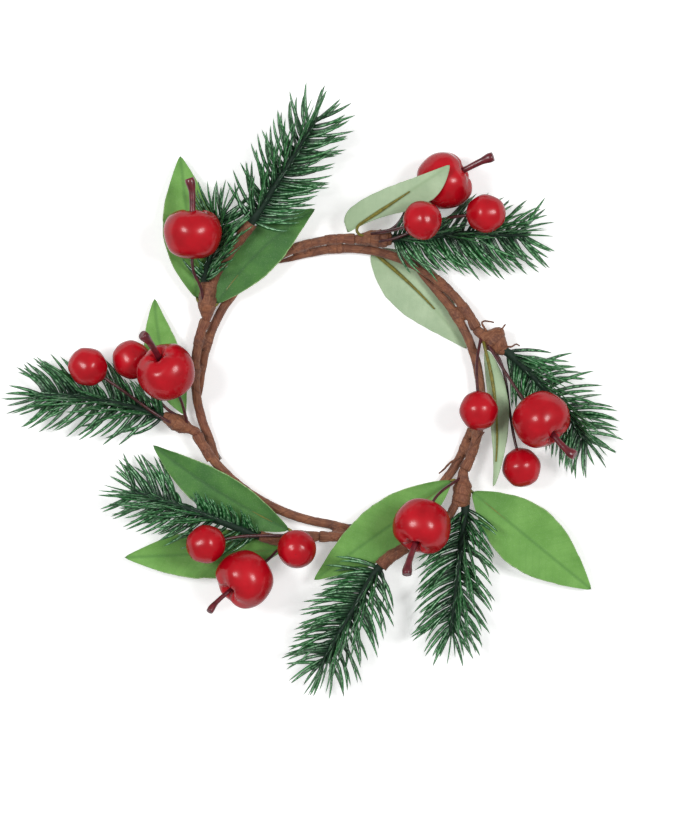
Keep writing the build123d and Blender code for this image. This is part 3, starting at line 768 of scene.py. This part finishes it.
# Blades unlike the rest: for each side, a power that sets where it is widest, and then for each
# side its share of the width.
halves = {
    "right_a": (0.72, 0.65, 0.95, 0.6),
    "upper_right_a": (0.45, 2.0, 1.0, 1.0),
    "upper_right_under": (0.75, 0.75, 1.0, 1.0),
    "lower_left_a": (0.9, 0.9, 0.86, 1.0),
}
insets = {"upper_right_a": 0.0, "upper_right_under": 0.0, "right_a": 0.3}
steps, folds, rim = 49, 17, 0.35
rib_sides, stalk_steps = 10, 14
blades = {}
for key, (name, anchor, base, tip, width, arch, roll, bow, green) in leaves.items():
    anchor, base, tip = at(name, (anchor, base, tip))
    base = base + (anchor - base) * insets.get(key, 0.55)
    ahead = unit(tip - base)
    level = unit(np.cross([0, 0, 1], ahead))
    up = np.cross(ahead, level) * np.cos(np.radians(roll)) - level * np.sin(np.radians(roll))
    side = np.cross(up, ahead)
    share = np.linspace(0, 1, steps)[1:-1]
    line = circle_arc(base, (base + tip) / 2 + up * arch + side * bow, tip, steps)
    way = unit(np.gradient(line, axis=0))
    normal = unit(np.cross(way, side))
    aside = np.cross(normal, way)[1:-1, None]
    edge = rim / (width / 2)
    spread = np.r_[1, 1 - edge, np.linspace(0.9, -0.9, folds), edge - 1, -1]
    early, late, slim, full = halves.get(key, (0.9, 0.9, 1.0, 1.0))
    swing = np.clip(spread, -0.5, 0.5) + 0.5
    bias = early + (late - early) * swing
    half = (slim + (full - slim) * swing) * width / 2
    half = 0.3 + half * np.sin(np.pi * share[:, None] ** bias) ** 0.98
    half = half * (1 + 0.012 * crumple(steps - 2, 9, 2)[:, :1])
    flat = key == "upper_right_under"
    cup, fold, wave = (0.01, 0.0, 0.0) if flat else (0.12, 0.3, 0.28)
    ripple = np.sin(9 * share[:, None] + 4 * spread + width)
    lift = cup * half * spread**2 + wave * ripple * spread**2
    lift = lift - fold * np.exp(-((spread * half / 1.1) ** 2)) + fold / 2
    places = np.concatenate([spread, spread[::-1], spread[:1]])
    heights = np.concatenate([lift + 0.34, lift[:, ::-1] + 0.08, lift[:, :1] + 0.34], axis=1)
    across = places * np.concatenate([half, half[:, ::-1], half[:, :1]], axis=1)
    inner = line[1:-1, None] + across[..., None] * aside + heights[..., None] * normal[1:-1, None]
    ends = [np.broadcast_to(end + up * 0.2, (1, len(places), 3)) for end in (base, tip)]
    blade = np.concatenate([ends[0], inner, ends[1]])
    length = run_length(line)
    off_middle = np.concatenate([across[:1], across, across[-1:]])
    uv = np.stack(np.broadcast_arrays(length[:, None], off_middle), axis=-1)
    count = len(spread)
    number = np.r_[2, np.zeros(count - 3, int), 2, 2, np.ones(count - 1, int), 2]
    leaf = make(f"cloth_leaf_{key}", [(blade, uv, number)], [green, pale_back, cut_edge])
    body = "hoop" if flat else f"spray_{name}"
    node = f"leaf_{key}"
    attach(leaf, body)
    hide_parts(node)

    below = (line - 0.4 * normal)[7 if key == "upper_right_a" else 0 :]
    chord = anchor - below[0]
    back = -unit(below[1] - below[0])
    off = unit(back - (back @ unit(chord)) * unit(chord))
    angle = np.arccos(back @ unit(chord))
    middle = below[0] + chord / 2 + off * np.linalg.norm(chord) / 2 * np.tan(angle / 2)
    stalk = circle_arc(anchor, middle, below[0], stalk_steps)
    path = np.concatenate([stalk[:-1], below[: -18 if roll > 90 else -9]])
    knots = [0, stalk_steps, stalk_steps + 8, len(path) - 1]
    thick = np.interp(np.arange(len(path)), knots, [0.5, 0.55, 0.66, 0.26])[:, None]
    wire = tube(path, thick * np.ones(rib_sides + 1), rib_sides)
    rib = make(f"leaf_rib_{key}", [(wire, tube_uv(path, rib_sides), 0)], [olive])
    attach(rib, body)
    area = 1e-6 * np.trapz(half[:, 0] + half[:, -1], share * length[-1])
    cut = (max(0.01, width / 1000 + 0.0007), length[-1] / 1000)
    blades[key] = np.c_[blade[:, ::3].reshape(-1, 3), np.full(blade[:, ::3, 0].size, 1.0)]
    crowd.append(blades[key])

# Fir tips: moulded green plastic, a ridged spine with flat pointed needles swept forward and
# curling to the end. Two of them stand on a taped stem of their own, and on the lower left one
# tape is wound a little way up the spine.
fir_green = Finish("fir_green_plastic", {"Specular IOR Level": 0.4, "Coat Roughness": 0.13})
reach, turn = fir_green.uv()
ridge = abs((turn.part() * 6.2832).wave())
tone = ((turn - turn.part()) * 0.618).part()
colour = fir_green.mix(tone, paint(12, 53, 29), paint(36, 108, 50))
# Painted light and shade along each needle: lighter towards the tip, darker at the root and on the
# spine.
colour = fir_green.mix(reach.between(0.3, 1.0) * 0.4, colour, paint(58, 136, 70))
colour = fir_green.mix((1 - reach.between(0.05, 0.45)) * 0.8, colour, paint(16, 38, 27))
mottle = fir_green.noise(800, 2.0)
# Painted highlight: pale glints along the ridges of the needles, in patches.
glint = ridge.between(0.65, 0.98) * mottle.between(0.44, 0.6) * reach.between(0.1, 0.35)
colour = fir_green.mix(glint * 0.68, colour, paint(158, 218, 164))
fir_green.feed(
    fir_green.shader,
    {
        "Base Color": colour,
        "Roughness": mottle * 0.3 + 0.2 + (1 - reach.between(0.05, 0.25)) * 0.35,
        "Coat Weight": reach.between(0.05, 0.25) * 0.6,
        "Normal": fir_green.bump(mottle, 0.00008),
    },
)
# The spray, the points of the taped stem where there is one, and the points of the spine.
firs = {
    "right_a": (
        "right",
        (),
        ((7, 0, 0), (14, 0.4, 0.3), (24, -0.9, 1.4), (39.5, -3.3, 2), (54, -8, 1)),
    ),
    "upper_right_a": (
        "upper_right",
        (),
        ((7, 0, 0), (14, -0.5, 0.4), (36.3, 0.2, 2.6), (58.4, -1.8, 2.0)),
    ),
    "upper_left_a": ("upper_left", (), ((7, 1.45, 0), (14, 1.2, 0.4), (36.1, -4.1, 2.2))),
    "upper_left_b": (
        "upper_left",
        ((7, -1.45, 0), (14, -1.9, 0.8), (22.2, -6.7, 3.2), (32.9, -14.4, 5.6)),
        ((50.1, -24.4, 7.6), (70.4, -35.8, 6.5)),
    ),
    "left_a": (
        "left",
        (),
        ((7, 0, 0), (14, 0.3, 0.4), (30, 3, 1.6), (45.2, 7.7, 2.2), (55, 13, 1.8)),
    ),
    "lower_left_a": (
        "lower_left",
        (),
        ((7, 0, 0), (14, 0, 0.5), (26.9, -6.7, 2.8), (42.6, -16, 4), (61.2, -24.4, 3.3)),
    ),
    "lower_right_a": (
        "lower_right",
        (),
        ((7, 1.45, 0), (14, 1.4, 0.4), (34.4, 0.2, 3.0), (56.2, -1.4, 2.6)),
    ),
    "lower_right_b": (
        "lower_right",
        ((7, -1.45, 0), (14, -2.6, 0.8), (20, -8.5, 3.5), (27.3, -18.7, 5.2), (33.4, -27.8, 5.7)),
        ((52.1, -37.0, 5.6), (70.1, -46.2, 3.0)),
    ),
}
crowd.extend(np.c_[line, np.full(len(line), 1.8)] for line in stem_lines.values())
# The needles start where the collar or the tape round the stem ends.
collar_end, sleeve_end = 5.0, 13.0
spine_steps, spine_sides, tape_sides = 220, 10, 16
spines = {}
for key, (name, stem, spine) in firs.items():
    line = bent(at(name, stem + spine), spine_steps)
    split = collar_end
    if stem:
        far = np.linalg.norm(line - at(name, stem[-1]), axis=1).argmin()
        split = run_length(line)[far]
    elif key == "lower_left_a":
        split = sleeve_end
    spines[key] = (line, split)
spine_crowd = {key: np.c_[line, np.full(len(line), 1.6)] for key, (line, _) in spines.items()}

# Needles grow in turn to the left and the right, one in six stands up, and one in three is a short
# scale on the spine. On the lower left tip those at its foot lie over the leaf beside it; the other
# long ones keep clear of a veil of points above that leaf.
crowding = {"upper_left_a": 4.9, "lower_left_a": 4.7}
needle_gap, floor_gap = 0.45, 0.5
trials = ((0, 0.35), (0.5, 0.6), (1, 0.8), (0, 0.6), (0.5, 0.8), (0.5, 1), (0, 0.8), (0, 1))
steps = np.array([0, 0.05, 0.2, 0.45, 0.7, 0.9, 1.0])[None, :, None]
widths = np.array([0, 0.5, 0.64, 0.64, 0.5, 0.27, 0.0])[None, :, None, None]
for key, (name, stem, _) in firs.items():
    line, split = spines[key]
    length = run_length(line)
    bare = line[length >= split - 2]
    grids = []
    ridges = np.cos(np.linspace(0, 6 * np.pi, spine_sides + 1)) ** 2
    knobs = 1 + 0.16 * winding(tube_uv(bare, spine_sides, pitch=1.3)[1:-1]) * ridges
    taper = np.linspace(1.5, 0.8, len(bare))[:, None]
    uv = tube_uv(bare, spine_sides) * [0, 0.3] + [0.05, 0.0]
    grids.append((tube(bare, taper * knobs, spine_sides), uv, 0))
    if stem or key == "lower_left_a":
        taped = line[length <= split + 0.5]
        uv = tube_uv(taped, tape_sides, pitch=3.4)
        swell = 1.35 + 0.95 * np.linspace(0, 1, len(taped))[:, None] ** 1.6
        if not stem:
            swell = np.linspace(2.1, 1.7, len(taped))[:, None]
        skin = swell + 0.2 * winding(uv[1:-1])
        skin = skin + 0.05 * crumple(len(taped), tape_sides + 1, 4)
        grids.append((tube(taped, skin, tape_sides), uv, 1))

    count = int((length[-1] - split) * crowding.get(key, 3.7))
    order = np.arange(count)
    place = (length[-1] - split - 0.7) * (order + chance.uniform(0, 1, count)) / count
    place = split + 0.6 + place
    share = ((place - split) / (length[-1] - split))[:, None]
    root = np.stack([np.interp(place, length, line[:, k]) for k in range(3)], axis=-1)
    ahead = np.gradient(line, axis=0)
    ahead = unit(np.stack([np.interp(place, length, ahead[:, k]) for k in range(3)], axis=-1))
    left = unit(np.cross([0, 0, 1], ahead))
    above = np.cross(ahead, left)
    hand = np.where(order % 2 == 0, 1.0, -1.0)[:, None]
    top = (order % 6 == 4)[:, None]
    scale = (order % 3 == 2)[:, None]
    others = [lined for other, lined in spine_crowd.items() if other != key]
    veil = np.array([[0.0, 0.0, -99.0, 0.0]])
    over = np.zeros((count, 1), bool)
    low = np.clip(chance.normal(6, 14, (count, 1)), -26, 36)
    if key == "lower_left_a":
        over = (hand < 0) & (share < 0.5)
        low = np.where(hand < 0, chance.normal(-20, 6, (count, 1)) + 52 * over, low)
        veil = np.concatenate([blades[key] + [0, 0, rise, 0] for rise in (1.5, 3, 4.5, 6, 7.5, 9)])
    climb = np.where(top, chance.uniform(36, 84, (count, 1)), low)
    climb = np.radians(np.where(scale, chance.uniform(-10, 90, (count, 1)), climb))
    crown = (share > 0.92) * chance.uniform(0, 46, (count, 1))
    sweep = 74 - 15 * share - 16 * top - crown + chance.normal(0, 6, (count, 1))
    if key == "right_a":
        sweep = sweep - 26 * np.clip(1 - share / 0.3, 0, 1)
    sweep = np.radians(np.where(scale, 30, np.maximum(sweep, 10)))
    curl = np.radians(chance.uniform(18, 42, (count, 1)) * (1 - 0.5 * (share > 0.92)))
    long = 19.6 - 3.0 * (1 - share) ** 4 - 4.0 * share**4 - 0.08 * crown
    long = long * chance.uniform(0.82, 1.05, (count, 1))
    long = np.where(scale, 0.25, np.where(over, 0.5, 1.0)) * long
    drift = chance.normal(0, 0.05, (count, 1))
    around = np.concatenate(crowd + others)
    away = np.linalg.norm(around[:, None, :3] - line[None, ::10], axis=2).min(axis=1)
    around = around[away - around[:, 3] < 22]
    middle = np.zeros((count, steps.size, 3))
    thin = np.zeros((count, steps.size, 3))
    grown = np.zeros(count, bool)
    for lift, size in trials:
        out = left * hand * np.cos(climb + lift) + above * np.sin(climb + lift)
        level = np.cross(ahead, out)
        first_way = ahead * np.cos(sweep) + out * np.sin(sweep)
        last_way = ahead * np.cos(sweep - curl) + out * np.sin(sweep - curl) + level * drift
        course = first_way[:, None] * (steps - steps**2 / 2) + last_way[:, None] * steps**2 / 2
        trial = root[:, None] + size * long[:, None] * course
        clear = trial[..., 2].min(axis=1) > floor_gap
        for step in (2, 3, 4, 5, 6):
            gap = np.linalg.norm(trial[:, step, None] - around[None, :, :3], axis=2) - around[:, 3]
            clear &= gap.min(axis=1) > needle_gap
            gap = np.linalg.norm(trial[:, step, None] - veil[None, :, :3], axis=2) - veil[:, 3]
            clear &= (scale | over)[:, 0] | (gap.min(axis=1) > needle_gap)
        middle[clear] = trial[clear]
        thin[clear] = level[clear, None]
        grown |= clear
    way = unit(np.gradient(middle[grown], axis=1))
    flat = unit(np.cross(way, thin[grown]))
    thin = np.cross(flat, way)
    corner = (np.array([0, 1, 2, 3, 4]) * np.pi / 2)[:, None]
    ring = np.cos(corner) * flat[:, :, None] + 0.5 * np.sin(corner) * thin[:, :, None]
    needles = middle[grown][:, :, None] + widths * ring
    turns = order[:, None, None] + np.linspace(0.02, 0.98, len(corner))
    reach = steps * np.where(scale, 0.35, 1.0)[..., None]
    uv = np.stack(np.broadcast_arrays(reach, turns), axis=-1)[grown]
    grids.append((needles, uv, 0))
    fir = make(f"fir_sprig_{key}", grids, [fir_green, tape])
    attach(fir, f"spray_{name}")
    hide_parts(f"fir_tip_{key}")

# Loose ends: thin wires and scraps of tape that stick out of the bindings, as the maker left
# them, each a short bent twig with its root inside the winding.
twigs = {
    "hoop": (
        (((44.6, -22.6, 5.8), (46.6, -20.6, 7.4), (48.9, -17.9, 8.6), (50.8, -15.4, 9.0)), 0.3),
        (((44.6, -23.0, 5.8), (45.9, -23.6, 7.2), (47.1, -23.6, 7.9), (47.8, -23.1, 8.0)), 0.5),
        (((42.4, -24.0, 4.6), (39.0, -26.2, 5.6), (36.6, -28.6, 6.0), (35.0, -30.0, 5.6)), 0.36),
    ),
    "spray_right": (
        (((51.6, 20.0, 8.0), (50.0, 22.5, 8.8), (51.0, 23.4, 9.2), (54.2, 22.9, 9.4)), 0.34),
        (((55.4, 18.2, 7.6), (57.0, 20.6, 8.6), (57.7, 21.6, 9.0), (58.2, 22.3, 9.2)), 0.3),
        (((58.4, 14.6, 7.4), (60.2, 14.4, 8.4), (61.9, 15.3, 9.0), (63.2, 14.7, 9.2)), 0.3),
    ),
}
twig_rows, twig_sides = 26, 8
for body, shapes in twigs.items():
    grids = []
    for route, thick in shapes:
        path = smooth_line(route, twig_rows)
        taper = np.linspace(1.2, 0.75, twig_rows)[:, None]
        rough = thick * taper * (1 + 0.12 * crumple(twig_rows, twig_sides + 1, 2))
        grids.append((tube(path, rough, twig_sides), tube_uv(path, twig_sides, pitch=3.0), 0))
    loose = make(f"loose_ends_{body}", grids, [tape])
    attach(loose, body)

# The table, two soft boxes and the camera, which looks straight down as the photograph does.
table_settings = {"Roughness": 0.9, "Specular IOR Level": 0.1, "Emission Strength": 0.34}
table = Finish("pale_table", table_settings)
white = table.mix(table.noise(6, 2.0), paint(248, 248, 248), paint(251, 251, 251))
rays = ("Is Camera Ray", "Is Glossy Ray", "Is Transmission Ray")
seen = sum(table.node("LightPath", {}, {}, ray) for ray in rays)
glow = table.mix(seen, (0, 0, 0, 1), (1, 1, 1, 1))
table.feed(table.shader, {"Base Color": white, "Emission Color": glow})
side = np.array([-3000.0, 3000.0])
plane = np.stack([*np.meshgrid(side, side, indexing="ij"), np.full((2, 2), -0.05)], axis=-1)
floor = make("table", [(plane[:, ::-1], np.zeros((2, 2, 2)), 0)], [table])

world = bpy.data.worlds.new("studio")
world.use_nodes = True
world.node_tree.nodes["Background"].inputs["Color"].default_value = (1, 1, 1, 1)
world.node_tree.nodes["Background"].inputs["Strength"].default_value = 0.3
scene.world = world
lamp_back, lamp_height = 0.15, 1.05
for name, x in (("left", -0.62), ("right", 0.62)):
    lamp = bpy.data.lights.new(f"soft_box_{name}", "AREA")
    lamp.shape = "DISK"
    lamp.size = 0.42
    lamp.energy = 6.4
    box = bpy.data.objects.new(f"soft_box_{name}", lamp)
    box.location = (x, lamp_back, lamp_height)
    box.rotation_euler = (-lamp_back / lamp_height, np.arctan2(x, lamp_height), 0)
    scene.collection.objects.link(box)

lens = bpy.data.cameras.new("overhead")
lens.sensor_width = 36
lens.lens = 146.7
camera = bpy.data.objects.new("overhead", lens)
camera.location = (0.00035, -0.0105, 1.2)
scene.collection.objects.link(camera)
scene.camera = camera
scene.view_settings.view_transform = "Standard"
